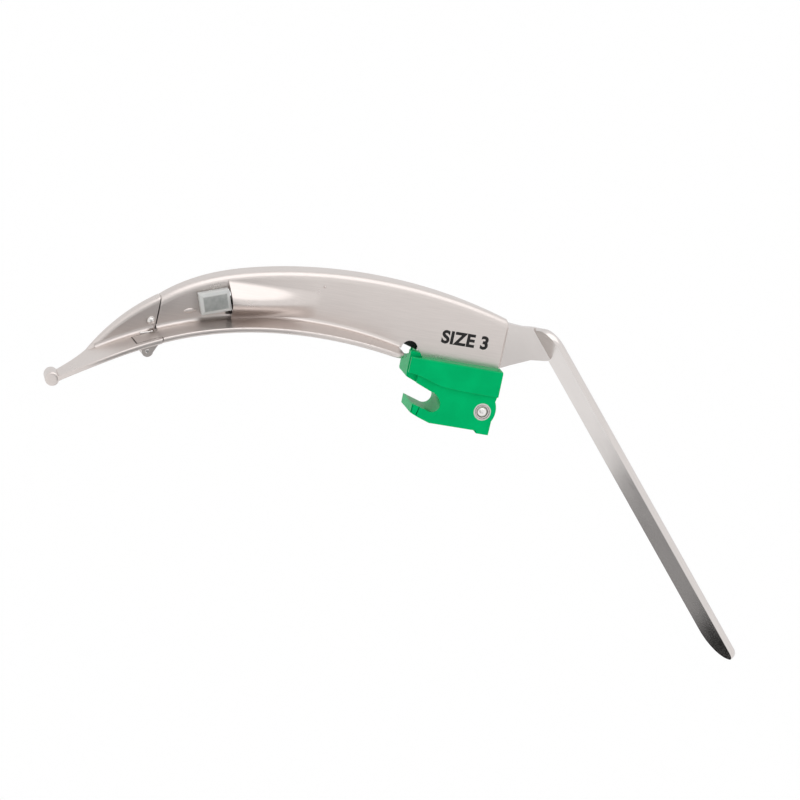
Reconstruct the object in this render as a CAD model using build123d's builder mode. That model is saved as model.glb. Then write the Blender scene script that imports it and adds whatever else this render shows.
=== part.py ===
from build123d import *
import os
from math import cos, hypot, radians, sin, sqrt

os.makedirs("parts", exist_ok=True)

# A size 3 curved laryngoscope blade with a levering tip and a hook-on fibre-light block.
# Millimetres. The origin is the centre of the hook slot, which takes the cross pin of the
# handle. +Z points away from the handle, -X towards the tip, +Y to the side that carries
# the lever mechanism.

# ---------------------------------------------------------------- driving dimensions
WEB_NEAR = -2.5          # face of the upright web that carries the light
WEB_THICK = 1.7
WEB_FAR = WEB_NEAR + WEB_THICK
SHEET = 1.5              # thickness of the spatula and of the flange

SPATULA_CENTRE = (-39.0, -101.0)   # the spatula is one arc about Y
SPATULA_R = 118.3                  # its upper face
TIP_CENTRE = (-52.2, -32.25)       # the flange's upper face on the tip
TIP_R = 59.5

SEAM_X = -84.5           # end of the fixed part
SEAM_GAP = 0.35
BLADE_REAR = 18.7        # rear end of the web
FLANGE_POINTS = [        # the flange's upper face on the fixed part
    (SEAM_X, 17.5), (-79.0, 21.3), (-70.0, 25.6), (-56.0, 29.5), (-42.0, 31.7),
    (-27.5, 32.6), (-13.0, 32.2), (1.6, 30.5), (BLADE_REAR, 26.8),
]
BLADE_FOOT = 12.6        # lower edge of the web above the block
TANG_FOOT = 7.5          # the web's tang, down inside the block
TANG_X = (-4.0, 16.5)
SPATULA_REAR = -12.0
NOTCH = (-9.1, 14.2)     # opening through which the fibre bundle crosses
NOTCH_R = 2.5

TIP_SHEET = (1.5, 1.3)   # the tip's spatula thins from the seam to the bead
BEAD = (-113.5, -9.4)    # rounded bead across the tip's end
BEAD_R = 2.1
BEAD_LENGTH = 8.4
BEAD_SKEW = 8.0          # degrees that the tip's end is turned about the vertical
BEAD_MID_Y = -9.0

HINGE = (-88.6, 3.7)     # tip hinge axis, along Y under the spatula
HINGE_PIN_R = 0.7
HINGE_BARREL_R = 1.7
TONGUE_Y = (-12.6, -5.2) # the fixed part's knuckle between the tip's two ears
TONGUE_END = -91.4
EAR_NEAR_Y = (-15.0, -12.9)
EAR_FAR_Y = (-4.9, WEB_FAR)
DRIVE = (-86.4, 10.4)    # pin by which the rod turns the tip
DRIVE_PIN_R = 0.8

LEVER_PIVOT = (11.0, 22.6)
STUD_R = 1.6
CRANK_R = 7.4
CRANK_REST = 20.0        # degrees that the crank stands behind the vertical at rest
CRANK_PIN_R = 1.0
ROD_Y = (2.9, 4.1)
ROD_FRONT_Y = (-0.4, 0.8)
ROD_WIDTH = 3.0
CRANK_Y = (4.5, 6.1)
PLATE_Y = (7.7, 9.5)     # the lever's side plate, outside the block
HUB_R = 3.4
FOLD = (28.3, 23.2)      # where the lever's strip starts, at the side plate's outer corner
LEVER_FALL = 49.35       # degrees that the strip slopes below the horizontal
STRIP_TWIST = 17.0       # degrees that the strip's inner face turns to the near side
STRIP_SIZE = (115.0, 12.3, 2.5)

BLOCK_HALF = 6.3
SADDLE_HALF = 7.3
BLOCK_TOP = 12.7
BLOCK_REAR = 18.7
HOOK_R = 2.43            # round end of the hook slot, about the origin
DETENT = (15.2, 0.05)
SLEEVE_R = 2.55
BALL_R = 1.65
BALL_SEAT = 1.72
BALL_OUT = 0.75          # how far the ball stands out of the block's side

LENS_SIZE = (8.7, 4.6, 7.0)
LENS_CENTRE = (-70.4, 19.3)
LENS_TILT = 19.0

MOUTH_X = -65.0          # open end of the pressed scoop that holds the light
SCOOP_TAIL_X = -44.8
SHEATH_R = 1.4
ROD_TOP = (-36.0, 21.6)
GUIDE_X = (-42.0, -24.0)
INLET = (4.8, 0.0)       # light inlet in the block's foot
INLET_R = 2.2

RUN = 0.05               # radial running clearance
SLOT_PLAY = 0.12         # half play of the two pins in the rod's slots


# ---------------------------------------------------------------- helpers
def at_y(y):
    """The XZ plane at one y, whose extrusions run towards -Y."""
    return Plane.XZ.offset(-y)


def arc_z(centre, radius, x):
    """Height of the upper half of a circle about Y."""
    return centre[1] + sqrt(radius ** 2 - (x - centre[0]) ** 2)


def spatula_z(x, down=0.0):
    return arc_z(SPATULA_CENTRE, SPATULA_R - down, x)


def flange_line(down=0.0):
    """A line-builder spline along the flange, lowered by a given amount."""
    return Spline(*[(x, z - down) for x, z in FLANGE_POINTS])


def tip_z(x, down=0.0):
    return arc_z(TIP_CENTRE, TIP_R - down, x)


def on_arc(height, x, down=0.0):
    return (x, height(x, down))


def arc_between(height, x_from, x_to, down=0.0):
    """A line-builder arc on the spatula's or the tip flange's guide circle."""
    middle = (x_from + x_to) / 2
    return ThreePointArc(
        on_arc(height, x_from, down), on_arc(height, middle, down), on_arc(height, x_to, down)
    )


def hand_in(piece, name):
    piece.part.label = name
    export_step(piece.part, f"parts/{name}.step")


# ---------------------------------------------------------------- formed sheet, main part
# The spatula: a curved band trimmed to its plan.
with BuildPart() as main_spatula:
    with BuildSketch(at_y(WEB_FAR)):
        with BuildLine():
            upper = arc_between(spatula_z, SEAM_X, SPATULA_REAR)
            lower = arc_between(spatula_z, SPATULA_REAR, SEAM_X, SHEET)
            Line(upper @ 1, lower @ 0)
            Line(lower @ 1, upper @ 0)
        make_face()
    extrude(amount=17.0)
    with BuildSketch(Plane.XY.offset(-5)):
        with BuildLine():
            near = Spline((SEAM_X - 1, -14.7), (-60, -15.0), (-32, -16.2), (-18, -15.0))
            corner = RadiusArc(near @ 1, (SPATULA_REAR, -9.0), -6.5)
            rear = Line(corner @ 1, (SPATULA_REAR, WEB_FAR))
            far = Line(rear @ 1, (SEAM_X - 1, WEB_FAR))
            Line(far @ 1, near @ 0)
        make_face()
    extrude(amount=40, mode=Mode.INTERSECT)
    rim = main_spatula.edges().filter_by(lambda e: e.length > 40 and e.center().Y < -13)
    fillet(rim, radius=0.55)

# The flange: a curved band turned over to the far side.
with BuildPart() as main_flange:
    with BuildSketch(at_y(6.0)):
        with BuildLine():
            upper = flange_line()
            lower = flange_line(SHEET)
            Line(upper @ 0, lower @ 0)
            Line(upper @ 1, lower @ 1)
        make_face()
    extrude(amount=6.0 - WEB_NEAR)
    with BuildSketch(Plane.XY):
        with BuildLine():
            far = Spline((SEAM_X - 1, 2.2), (-66, 4.6), (-40, 5.6), (-12, 5.4), (8, 3.2), (20, -0.2))
            Polyline(far @ 1, (20, WEB_NEAR - 1), (SEAM_X - 1, WEB_NEAR - 1), far @ 0)
        make_face()
    extrude(amount=40, mode=Mode.INTERSECT)

# The upright web, with the notch for the fibre bundle and the tang in the block.
with BuildPart() as main_web:
    with BuildSketch(at_y(WEB_FAR)):
        with BuildLine():
            top = flange_line()
            Polyline(
                top @ 1,
                (BLADE_REAR, BLADE_FOOT),
                (TANG_X[1], BLADE_FOOT),
                (TANG_X[1], TANG_FOOT),
                (TANG_X[0], TANG_FOOT),
                (TANG_X[0], BLADE_FOOT),
                (NOTCH[0], BLADE_FOOT),
                (NOTCH[0], BLADE_FOOT + 0.8),
                (SPATULA_REAR, BLADE_FOOT + 0.8),
                on_arc(spatula_z, SPATULA_REAR, SHEET / 2),
            )
            foot = arc_between(spatula_z, SPATULA_REAR, SEAM_X, SHEET / 2)
            Line(foot @ 1, top @ 0)
        make_face()
        with Locations(NOTCH):
            Circle(NOTCH_R, mode=Mode.SUBTRACT)
    extrude(amount=WEB_THICK)
    with BuildSketch(at_y(WEB_FAR)):
        with Locations((NOTCH[0] - 1.4, BLADE_FOOT)):
            Rectangle(5.6, 3.2)
    extrude(amount=WEB_THICK, mode=Mode.SUBTRACT)


def scoop_section(plane_x, y, z, half_y, half_z):
    """An ellipse across the blade, from which the scoop is lofted."""
    plane = Plane(origin=(plane_x, y, z), x_dir=(0, 1, 0), z_dir=(-1, 0, 0))
    with BuildSketch(plane) as section:
        Ellipse(half_y, half_z)
    return section.sketch


with BuildPart() as scoop_outside:
    loft([
        scoop_section(SCOOP_TAIL_X, -1.9, 23.2, 0.8, 0.8),
        scoop_section(MOUTH_X, -1.9, 19.9, 5.0, 5.15),
    ])
    with BuildSketch(at_y(WEB_NEAR + 0.2)):
        with Locations((-55, 20)):
            Rectangle(40, 40)
    extrude(amount=20, mode=Mode.INTERSECT)

with BuildPart() as scoop_inside:
    loft([
        scoop_section(SCOOP_TAIL_X, -1.9, 23.2, 0.4, 0.4),
        scoop_section(MOUTH_X - 0.2, -1.9, 19.9, 4.0, 4.15),
    ])

# Knuckle of the fixed part, which takes the hinge pin between the tip's two ears.
with BuildPart() as knuckle:
    with BuildSketch(at_y(TONGUE_Y[1])):
        with BuildLine():
            upper = arc_between(spatula_z, TONGUE_END, SEAM_X + 1)
            lower = arc_between(spatula_z, SEAM_X + 1, TONGUE_END, SHEET)
            Line(upper @ 1, lower @ 0)
            Line(lower @ 1, upper @ 0)
        make_face()
        with Locations(HINGE):
            Circle(HINGE_BARREL_R)
        Polygon(
            (HINGE[0] - HINGE_BARREL_R, HINGE[1]),
            (HINGE[0] + HINGE_BARREL_R, HINGE[1]),
            on_arc(spatula_z, SEAM_X + 0.5, SHEET / 2),
            on_arc(spatula_z, TONGUE_END + 0.8, SHEET / 2),
            align=None,
        )
    extrude(amount=TONGUE_Y[1] - TONGUE_Y[0])
    with BuildSketch(at_y(TONGUE_Y[1])):
        with Locations(HINGE):
            Circle(HINGE_PIN_R + RUN)
    extrude(amount=TONGUE_Y[1] - TONGUE_Y[0], mode=Mode.SUBTRACT)

with BuildPart() as blade_body:
    add(main_spatula.part)
    add(main_flange.part)
    add(main_web.part)
    long_edges = blade_body.edges().filter_by(
        lambda e: abs(e.center().Y - WEB_NEAR) < 0.01 and e.length > 90
    )
    fillet(long_edges.sort_by(Axis.Z)[-1], radius=2.2)
    rear_corner = blade_body.edges().filter_by(
        lambda e: abs(e.center().Y - WEB_NEAR) < 0.01 and abs(e.center().X - BLADE_REAR) < 0.01
    )
    chamfer(rear_corner, length=0.6)
    add(scoop_outside.part)
    add(scoop_inside.part, mode=Mode.SUBTRACT)
    add(knuckle.part)
hand_in(blade_body, "blade_body")


# ---------------------------------------------------------------- hinged tip
TIP_REAR = SEAM_X - SEAM_GAP
FLANGE_MERGE = -103.2    # where the tip's flange runs out into the spatula

with BuildPart() as tip_spatula:
    with BuildSketch(at_y(WEB_FAR)):
        with BuildLine():
            upper = arc_between(spatula_z, BEAD[0], TIP_REAR)
            lower = ThreePointArc(
                on_arc(spatula_z, TIP_REAR, TIP_SHEET[0]),
                on_arc(spatula_z, (TIP_REAR + BEAD[0]) / 2, sum(TIP_SHEET) / 2),
                on_arc(spatula_z, BEAD[0], TIP_SHEET[1]),
            )
            Line(upper @ 1, lower @ 0)
            Line(lower @ 1, upper @ 0)
        make_face()
    extrude(amount=17.0)
    with BuildSketch(Plane.XY.offset(-20)):
        with BuildLine():
            near = Spline((TIP_REAR, -15.2), (-95, -15.7), (-103, -15.6), (-108.5, -14.6), (BEAD[0], -12.9))
            end = Line(near @ 1, (BEAD[0], -5.9))
            far = Spline(end @ 1, (-108, -4.8), (-105.4, -3.1), (FLANGE_MERGE, WEB_FAR))
            Polyline(far @ 1, (TIP_REAR, WEB_FAR), near @ 0)
        make_face()
        with Locations(((TIP_REAR + TONGUE_END - 0.4) / 2, sum(TONGUE_Y) / 2)):
            Rectangle(
                TIP_REAR - TONGUE_END + 0.4,
                TONGUE_Y[1] - TONGUE_Y[0] + 0.6,
                mode=Mode.SUBTRACT,
            )
    extrude(amount=40, mode=Mode.INTERSECT)
    rim = tip_spatula.edges().filter_by(lambda e: e.length > 20 and e.center().Y < -13)
    fillet(rim, radius=0.5)

with BuildPart() as tip_flange:
    with BuildSketch(at_y(3.0)):
        with BuildLine():
            upper = arc_between(tip_z, FLANGE_MERGE, TIP_REAR)
            lower = arc_between(tip_z, TIP_REAR, FLANGE_MERGE, SHEET)
            Line(upper @ 1, lower @ 0)
            Line(lower @ 1, upper @ 0)
        make_face()
    extrude(amount=3.0 - WEB_NEAR)
    with BuildSketch(Plane.XY.offset(-20)):
        with BuildLine():
            far = Spline((TIP_REAR, 2.0), (-94, 1.0), (FLANGE_MERGE, WEB_FAR))
            Polyline(far @ 1, (FLANGE_MERGE, WEB_NEAR), (TIP_REAR, WEB_NEAR), far @ 0)
        make_face()
    extrude(amount=60, mode=Mode.INTERSECT)

with BuildPart() as tip_web:
    with BuildSketch(at_y(WEB_FAR)):
        with BuildLine():
            top = arc_between(tip_z, FLANGE_MERGE + 3, TIP_REAR, SHEET / 2)
            rear = Line(top @ 1, on_arc(spatula_z, TIP_REAR, SHEET / 2))
            foot = arc_between(spatula_z, TIP_REAR, FLANGE_MERGE + 3, SHEET / 2)
            Line(foot @ 1, top @ 0)
        make_face()
    extrude(amount=WEB_THICK)


def ear(y_range):
    """One ear of the tip, round the hinge pin."""
    with BuildPart() as lug:
        with BuildSketch(at_y(y_range[1])):
            with Locations(HINGE):
                Circle(HINGE_BARREL_R)
            Polygon(
                (HINGE[0] - HINGE_BARREL_R, HINGE[1]),
                (HINGE[0] + HINGE_BARREL_R, HINGE[1]),
                on_arc(spatula_z, TIP_REAR - 0.6, SHEET / 2),
                on_arc(spatula_z, TONGUE_END, SHEET / 2),
                align=None,
            )
            with Locations(HINGE):
                Circle(HINGE_PIN_R, mode=Mode.SUBTRACT)
        extrude(amount=y_range[1] - y_range[0])
    return lug.part


skew = radians(BEAD_SKEW)
bead_plane = Plane(
    origin=(BEAD[0], BEAD_MID_Y, BEAD[1]),
    x_dir=(cos(skew), -sin(skew), 0),
    z_dir=(sin(skew), cos(skew), 0),
)
with BuildPart() as tip_bead:
    with BuildSketch(bead_plane):
        Circle(BEAD_R)
    extrude(amount=BEAD_LENGTH / 2, both=True)
    fillet(tip_bead.edges(), radius=0.9)

with BuildPart() as tip_body:
    add(tip_spatula.part)
    add(tip_flange.part)
    add(tip_web.part)
    tip_fold = tip_body.edges().filter_by(
        lambda e: abs(e.center().Y - WEB_NEAR) < 0.01 and e.length > 15
    )
    fillet(tip_fold.sort_by(Axis.Z)[-1], radius=1.3)
    add(ear(EAR_NEAR_Y))
    add(ear(EAR_FAR_Y))
    add(tip_bead.part)
    with BuildSketch(at_y(WEB_FAR + 1)):
        with Locations(DRIVE):
            Circle(DRIVE_PIN_R)
    extrude(amount=WEB_THICK + 2, mode=Mode.SUBTRACT)
hand_in(tip_body, "tip_body")


def pin_along_y(centre, stations, name):
    """A turned pin along Y: stations are (y from, y to, radius)."""
    with BuildPart() as pin:
        for y_from, y_to, radius in stations:
            with BuildSketch(at_y(y_to)):
                with Locations(centre):
                    Circle(radius)
            extrude(amount=y_to - y_from)
    hand_in(pin, name)


HEAD = 0.35
pin_along_y(
    HINGE,
    [
        (EAR_NEAR_Y[0], EAR_FAR_Y[1], HINGE_PIN_R),
        (EAR_FAR_Y[1], EAR_FAR_Y[1] + HEAD, 1.1),
    ],
    "tip_hinge_pin",
)
pin_along_y(
    DRIVE,
    [
        (WEB_NEAR - 0.9, WEB_NEAR, 1.2),
        (WEB_NEAR, ROD_FRONT_Y[1] + 0.2, DRIVE_PIN_R),
        (ROD_FRONT_Y[1] + 0.2, ROD_FRONT_Y[1] + 0.7, 1.4),
    ],
    "tip_drive_pin",
)


# ---------------------------------------------------------------- push rod and its guides
crank_angle = radians(CRANK_REST)
CRANK = (
    LEVER_PIVOT[0] + CRANK_R * sin(crank_angle),
    LEVER_PIVOT[1] - CRANK_R * cos(crank_angle),
)
CRANK_LOW = LEVER_PIVOT[1] - CRANK_R
ROD_SLOT_REAR = (CRANK[1] + CRANK_LOW) / 2
DRIVE_ARM = hypot(DRIVE[0] - HINGE[0], DRIVE[1] - HINGE[1])
ROD_SLOT_FRONT = (DRIVE[1] + HINGE[1] + DRIVE_ARM) / 2
ROD_STEP_X = (-67.0, -62.5)
ROD_RISE = 0.35          # reach of the pins above and below the middle of each slot

with BuildPart() as push_rod:
    for x_range, y_range in (
        ((DRIVE[0] - 5, ROD_STEP_X[1]), ROD_FRONT_Y),
        (ROD_STEP_X, (ROD_FRONT_Y[0], ROD_Y[1])),
        ((ROD_STEP_X[0], CRANK[0] + 5), ROD_Y),
    ):
        with BuildSketch(at_y(y_range[1])):
            with BuildLine():
                ThreePointArc((DRIVE[0], ROD_SLOT_FRONT), ROD_TOP, (CRANK[0], ROD_SLOT_REAR))
            trace(line_width=ROD_WIDTH)
            with Locations(((x_range[0] + x_range[1]) / 2, 15)):
                Rectangle(x_range[1] - x_range[0], 60, mode=Mode.INTERSECT)
        extrude(amount=y_range[1] - y_range[0])
    for centre, y_range, pin_r in (
        ((DRIVE[0], ROD_SLOT_FRONT), ROD_FRONT_Y, DRIVE_PIN_R),
        ((CRANK[0], ROD_SLOT_REAR), ROD_Y, CRANK_PIN_R),
    ):
        thickness = y_range[1] - y_range[0]
        with BuildSketch(at_y(y_range[1])):
            with Locations(centre):
                Circle(pin_r + 1.1)
        extrude(amount=thickness)
        with BuildSketch(at_y(y_range[1])):
            with Locations(centre):
                SlotCenterToCenter(2 * ROD_RISE, 2 * (pin_r + SLOT_PLAY), rotation=90)
        extrude(amount=thickness, mode=Mode.SUBTRACT)
hand_in(push_rod, "push_rod")

# Two staples on the web's far face hold the rod in.
GUIDE_OPEN = {GUIDE_X[0]: (19.0, 24.1), GUIDE_X[1]: (17.3, 23.2)}
GUIDE_WALL = 1.0
GUIDE_FAR = ROD_Y[1] + 0.3
for guide_x, guide_name in zip(GUIDE_X, ("rod_guide_front", "rod_guide_rear")):
    low, high = GUIDE_OPEN[guide_x]
    middle = (low + high) / 2
    with BuildPart() as guide:
        with BuildSketch(Plane.YZ.offset(guide_x - 1.5)):
            with BuildLine():
                Polyline(
                    (WEB_FAR, low - GUIDE_WALL),
                    (GUIDE_FAR + GUIDE_WALL, low - GUIDE_WALL),
                    (GUIDE_FAR + GUIDE_WALL, high + GUIDE_WALL),
                    (WEB_FAR, high + GUIDE_WALL),
                    (WEB_FAR, high),
                    (GUIDE_FAR, high),
                    (GUIDE_FAR, low),
                    (WEB_FAR, low),
                    close=True,
                )
            make_face()
        extrude(amount=3.0)
        bends = guide.edges().filter_by(Axis.X).group_by(Axis.Y)[-1]
        fillet(bends, radius=0.7)
    hand_in(guide, guide_name)


# ---------------------------------------------------------------- lever
with BuildPart() as lever_crank:
    hub_length = PLATE_Y[0] - CRANK_Y[0]
    with BuildSketch(at_y(PLATE_Y[0])):
        with Locations(LEVER_PIVOT):
            Circle(HUB_R - 0.3)
            Circle(STUD_R + RUN, mode=Mode.SUBTRACT)
    extrude(amount=hub_length)
    with BuildSketch(at_y(CRANK_Y[1])):
        with Locations(LEVER_PIVOT):
            Circle(HUB_R - 0.3)
        with Locations(CRANK):
            Circle(CRANK_PIN_R + 1.0)
        arm_middle = ((LEVER_PIVOT[0] + CRANK[0]) / 2, (LEVER_PIVOT[1] + CRANK[1]) / 2)
        with Locations(arm_middle):
            Rectangle(3.8, CRANK_R, rotation=CRANK_REST)
        with Locations(LEVER_PIVOT):
            Circle(STUD_R + RUN, mode=Mode.SUBTRACT)
        with Locations(CRANK):
            Circle(CRANK_PIN_R, mode=Mode.SUBTRACT)
    extrude(amount=CRANK_Y[1] - CRANK_Y[0])
hand_in(lever_crank, "lever_crank")

pin_along_y(
    CRANK,
    [
        (ROD_Y[0] - 0.5, ROD_Y[0] - 0.2, CRANK_PIN_R + 0.5),
        (ROD_Y[0] - 0.2, CRANK_Y[1] + 0.3, CRANK_PIN_R),
    ],
    "crank_pin",
)

fall = radians(LEVER_FALL)
twist = radians(STRIP_TWIST)
ALONG = Vector(cos(fall), 0, -sin(fall))
OUTWARD = Vector(sin(fall) * cos(twist), sin(twist), cos(fall) * cos(twist))
strip_plane = Plane(origin=(FOLD[0], PLATE_Y[1], FOLD[1]), x_dir=ALONG, z_dir=OUTWARD)

with BuildPart() as lever_arm:
    with BuildSketch(strip_plane):
        with BuildLine():
            length, width, _ = STRIP_SIZE
            start = Line((0, 0), (0, 6.5 - width))
            near_start = RadiusArc(start @ 1, (6.5, -width), -6.5)
            near = Line(near_start @ 1, (length - 2.5, -width))
            near_end = RadiusArc(near @ 1, (length, 2.5 - width), -2.5)
            far_end = RadiusArc(near_end @ 1, (length - 9.5, 0), -9.5)
            Line(far_end @ 1, start @ 0)
        make_face()
    extrude(amount=STRIP_SIZE[2])
    outer_bend = lever_arm.edges().sort_by_distance(
        strip_plane.from_local_coords((0, -STRIP_SIZE[1] / 3, STRIP_SIZE[2]))
    )[0]
    fillet(outer_bend, radius=1.9)
    with BuildSketch(at_y(PLATE_Y[1])):
        Polygon(
            (LEVER_PIVOT[0], LEVER_PIVOT[1] + HUB_R),
            (21.8, 24.2),
            (25.3, 23.9),
            (FOLD[0] + 1.2, FOLD[1] + 1.0),
            (FOLD[0] + 10.5 * ALONG.X + 1.2, FOLD[1] + 10.5 * ALONG.Z + 1.0),
            (34.6, 15.1),
            (29.8, 14.6),
            (24.2, 12.2),
            (21.5, 10.9),
            (17.0, 12.0),
            (LEVER_PIVOT[0] - HUB_R, LEVER_PIVOT[1]),
            align=None,
        )
        with Locations(LEVER_PIVOT):
            Circle(HUB_R)
            Circle(STUD_R + RUN, mode=Mode.SUBTRACT)
    extrude(amount=PLATE_Y[1] - PLATE_Y[0])
hand_in(lever_arm, "lever_arm")

STUD_END = PLATE_Y[1] + 0.45
pin_along_y(
    LEVER_PIVOT,
    [(WEB_FAR, WEB_FAR + 0.7, 2.8), (WEB_FAR + 0.7, STUD_END, STUD_R)],
    "lever_pivot_stud",
)
with BuildPart() as pivot_washer:
    with BuildSketch(at_y(STUD_END)):
        with Locations(LEVER_PIVOT):
            Circle(2.9)
            Circle(STUD_R, mode=Mode.SUBTRACT)
    extrude(amount=0.35)
hand_in(pivot_washer, "pivot_washer")

with BuildPart() as pivot_screw:
    with BuildSketch(at_y(STUD_END + 1.3)):
        with Locations(LEVER_PIVOT):
            Circle(2.5)
    extrude(amount=1.3)
    fillet(pivot_screw.edges().sort_by(Axis.Y)[-1], radius=0.6)
    with BuildSketch(at_y(STUD_END + 1.3)):
        with Locations(LEVER_PIVOT):
            Rectangle(6, 0.7)
    extrude(amount=0.6, mode=Mode.SUBTRACT)
hand_in(pivot_screw, "pivot_screw")

# Torsion spring round the stud, between the web and the crank, with its peg on the web.
SPRING_Y = (WEB_FAR + 1.0, CRANK_Y[0] - 0.4)
SPRING_R = (2.0, 2.8)
PEG = (5.6, 24.2)
with BuildPart() as return_spring:
    with BuildSketch(at_y(SPRING_Y[1])):
        with Locations(LEVER_PIVOT):
            Circle(SPRING_R[1])
            Circle(SPRING_R[0], mode=Mode.SUBTRACT)
    extrude(amount=SPRING_Y[1] - SPRING_Y[0])
    with BuildSketch(at_y(SPRING_Y[0] + 0.8)):
        with Locations(((PEG[0] + LEVER_PIVOT[0]) / 2 - 0.2, LEVER_PIVOT[1] + 2.4)):
            Rectangle(LEVER_PIVOT[0] - PEG[0], 0.8)
    extrude(amount=0.8)
hand_in(return_spring, "return_spring")
pin_along_y(PEG, [(WEB_FAR, WEB_FAR + 2.4, 0.39)], "spring_peg")

ARM_SIDE = (cos(crank_angle), sin(crank_angle))
STOP_R = 0.9
STOP_ALONG = 4.6
STOP = (
    LEVER_PIVOT[0] + STOP_ALONG * sin(crank_angle) + (1.95 + STOP_R) * ARM_SIDE[0],
    LEVER_PIVOT[1] - STOP_ALONG * cos(crank_angle) + (1.95 + STOP_R) * ARM_SIDE[1],
)
pin_along_y(STOP, [(WEB_FAR, CRANK_Y[1], STOP_R)], "lever_stop_pin")


# ---------------------------------------------------------------- fibre light
with BuildPart() as light_lens:
    lens_plane = Plane(
        origin=(LENS_CENTRE[0], WEB_NEAR - LENS_SIZE[1] / 2, LENS_CENTRE[1]),
        x_dir=(cos(radians(LENS_TILT)), 0, sin(radians(LENS_TILT))),
        z_dir=(0, -1, 0),
    )
    with BuildSketch(lens_plane.offset(-LENS_SIZE[1] / 2)):
        Rectangle(LENS_SIZE[0], LENS_SIZE[2])
    extrude(amount=LENS_SIZE[1])
    chamfer(light_lens.edges().filter_by(Axis.Y), length=0.3)
hand_in(light_lens, "light_lens")

SHEATH_ROUTE = [
    (4.5, 1.0, 12.0),
    (-16.0, 1.0, 17.9),
    (-30.0, 1.0, 21.0),
    (-49.5, 1.0, 22.4),
    (-58.5, -2.6, 21.3),
    (-64.5, -4.3, 20.6),
]
with BuildPart() as fibre_bundle:
    with BuildLine():
        sheath_line = FilletPolyline(*SHEATH_ROUTE, radius=[14.0, 20.0, 9.0, 14.0])
    with BuildSketch(Plane(origin=sheath_line @ 0, z_dir=sheath_line % 0)):
        Circle(SHEATH_R)
    sweep()
hand_in(fibre_bundle, "fibre_bundle")


# ---------------------------------------------------------------- hook-on block
def on_hook(angle):
    """A point on the hook slot's round end, at an angle in degrees from +X."""
    return (HOOK_R * cos(radians(angle)), HOOK_R * sin(radians(angle)))


with BuildPart() as block_core:
    with BuildSketch(at_y(BLOCK_HALF)):
        with BuildLine():
            nose = Polyline(
                (-8.9, 6.6),
                (NOTCH[0], 7.2),
                (NOTCH[0], 14.2),
                (-6.3, 14.2),
                (-5.6, BLOCK_TOP),
                (BLOCK_REAR, BLOCK_TOP),
                (BLOCK_REAR, 5.0),
                (18.4, 3.6),
            )
            lobe = ThreePointArc(nose @ 1, (19.1, 0.7), (18.4, -2.3))
            foot = Polyline(
                lobe @ 1,
                (18.3, -6.5),
                (14.7, -6.5),
                (13.8, -5.7),
                (0.2, -5.7),
                (-3.5, -4.5),
                (-5.9, -3.5),
                (-5.9, -0.75),
                on_hook(-107.0),
            )
            hook = ThreePointArc(foot @ 1, on_hook(-36.0), on_hook(34.9))
            throat = ThreePointArc(hook @ 1, (0.65, 2.85), (-1.4, 3.7))
            Line(throat @ 1, nose @ 0)
        make_face()
    extrude(amount=2 * BLOCK_HALF)
    # the nose is narrower than the block
    for side in (-1, 1):
        with BuildSketch(Plane.XY.offset(5.0)):
            with Locations(((NOTCH[0] - 6.0) / 2, side * (BLOCK_HALF + 5.0) / 2)):
                Rectangle(abs(NOTCH[0]) - 6.0 + 0.2, BLOCK_HALF - 5.0)
        extrude(amount=12.0, mode=Mode.SUBTRACT)
    # behind the web the nose is cut down below the fibre bundle
    with BuildSketch(Plane.XY.offset(11.2)):
        with Locations((-8.1, WEB_FAR)):
            Rectangle(3.6, 8.0, align=(Align.CENTER, Align.MIN))
    extrude(amount=5.0, mode=Mode.SUBTRACT)
    # slot for the web's tang
    with BuildSketch(at_y(WEB_FAR)):
        with Locations((sum(TANG_X) / 2, TANG_FOOT)):
            Rectangle(TANG_X[1] - TANG_X[0], 30, align=(Align.CENTER, Align.MIN))
        with Locations((0, BLADE_FOOT)):
            Rectangle(60, 30, align=(Align.CENTER, Align.MIN))
    extrude(amount=WEB_THICK, mode=Mode.SUBTRACT)
    # bore across for the detents, and the light inlet from below
    with BuildSketch(at_y(BLOCK_HALF)):
        with Locations(DETENT):
            Circle(SLEEVE_R)
    extrude(amount=2 * BLOCK_HALF, mode=Mode.SUBTRACT)
    with BuildSketch(Plane.XY.offset(-10)):
        with Locations(INLET):
            Circle(INLET_R)
    extrude(amount=10 + 3.0, mode=Mode.SUBTRACT)
    # hole in the nose for the fibre bundle
    with BuildSketch(Plane(origin=sheath_line @ 0, z_dir=sheath_line % 0)):
        Circle(SHEATH_R + RUN)
    extrude(amount=13, mode=Mode.SUBTRACT)
hand_in(block_core, "block_core")

SADDLE_SCREWS = ((-3.0, 10.0), (13.5, 9.4))
SADDLE_REAR = BLOCK_REAR + 0.1
for side, saddle_name, front, front_foot in (
    (-1, "block_saddle_near", NOTCH[0], 8.2),
    (1, "block_saddle_far", -6.4, 7.7),
):
    with BuildPart() as saddle:
        with BuildSketch(at_y(SADDLE_HALF if side > 0 else -BLOCK_HALF)):
            with BuildLine():
                Line((front, front_foot), (front, 13.0))
                Line((front, 13.0), (SADDLE_REAR, BLOCK_TOP))
                Line((SADDLE_REAR, BLOCK_TOP), (SADDLE_REAR, 5.1))
                Spline(
                    (SADDLE_REAR, 5.1), (10.15, 5.25), (4.05, 5.5), (0.9, 5.9), (-2.3, 6.85),
                    (front, front_foot),
                )
            make_face()
        extrude(amount=SADDLE_HALF - BLOCK_HALF)
        outer = saddle.faces().sort_by(Axis.Y)[-1 if side > 0 else 0]
        fillet(outer.edges().sort_by(Axis.Z)[-1], radius=0.8)
        if side > 0:
            with BuildSketch(at_y(SADDLE_HALF)):
                with Locations(*SADDLE_SCREWS):
                    Circle(1.5)
            extrude(amount=SADDLE_HALF - BLOCK_HALF, mode=Mode.SUBTRACT)
    hand_in(saddle, saddle_name)

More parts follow.
